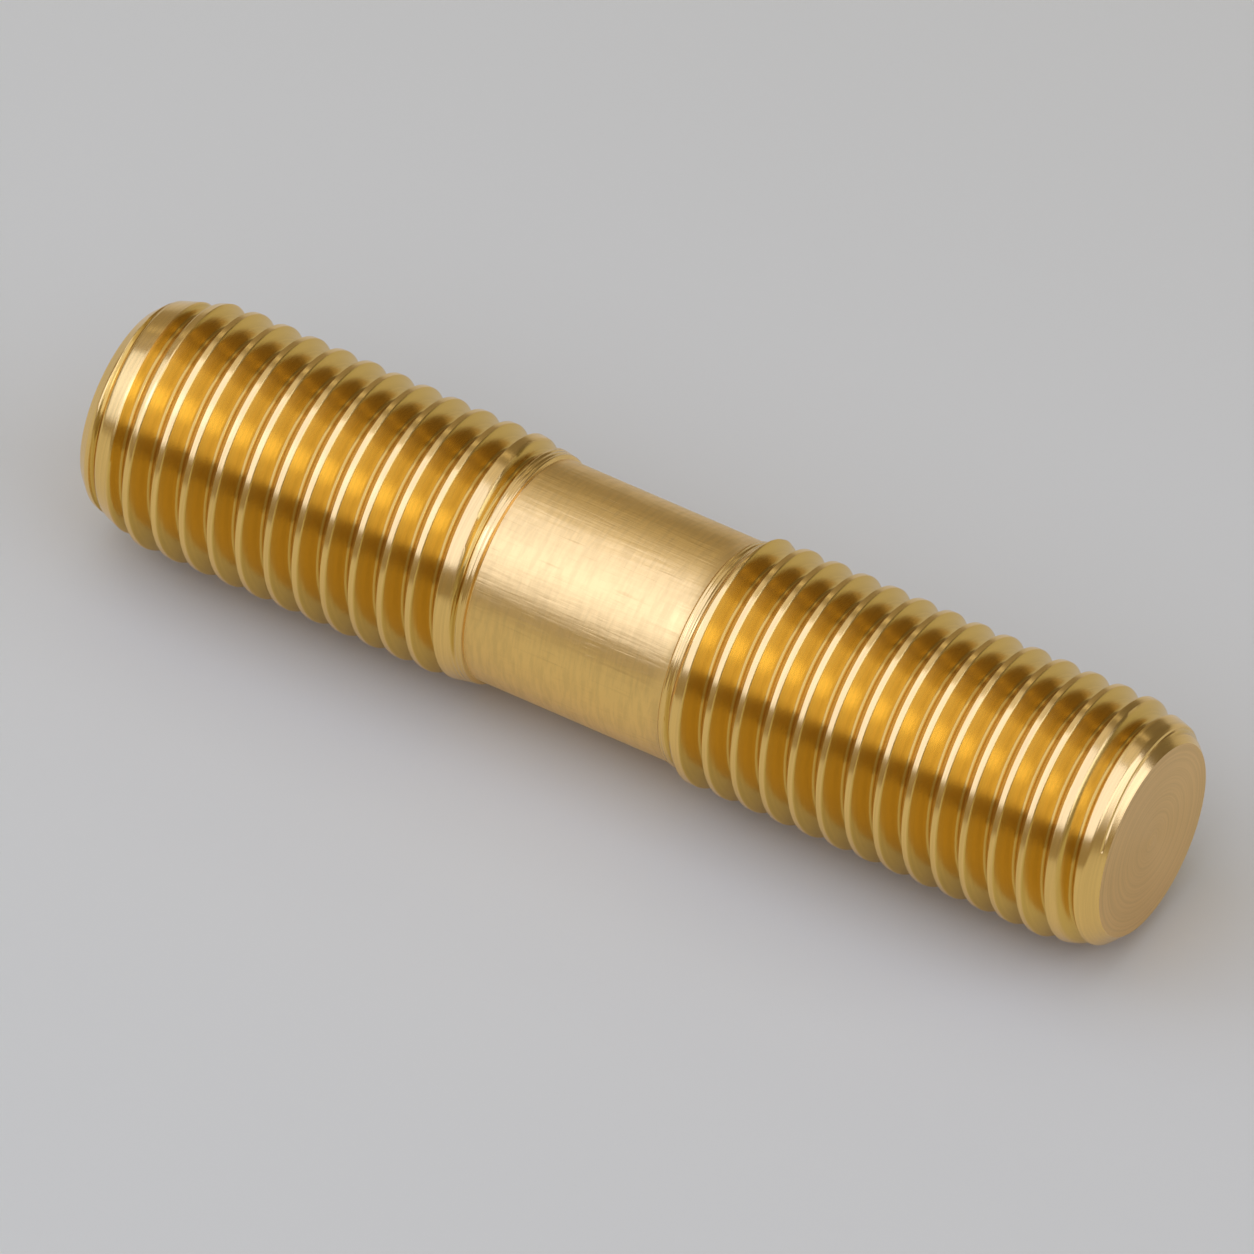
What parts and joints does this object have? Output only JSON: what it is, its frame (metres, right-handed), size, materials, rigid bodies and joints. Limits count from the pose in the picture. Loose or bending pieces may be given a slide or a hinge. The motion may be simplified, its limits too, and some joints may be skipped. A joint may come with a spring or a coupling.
{
  "type": "threaded stud",
  "caption": "Straight double-ended brass stud with a coarse right-hand thread on each end, chamfered tips and a plain turned-down shank between; it joins tapped parts or takes a nut.",
  "frame": {"origin": "centre of the face of the end with the longer thread, on the stud's axis", "axes": "+Z along the stud's axis, from the end with the longer thread to the other end; +X and +Y are square to it"},
  "size_m": [0.0198, 0.0198, 0.09],
  "materials": {
    "brass": "satin, turned"
  },
  "bodies": {
    "root": {"threaded_stud": "brass"}
  },
  "joints": []
}
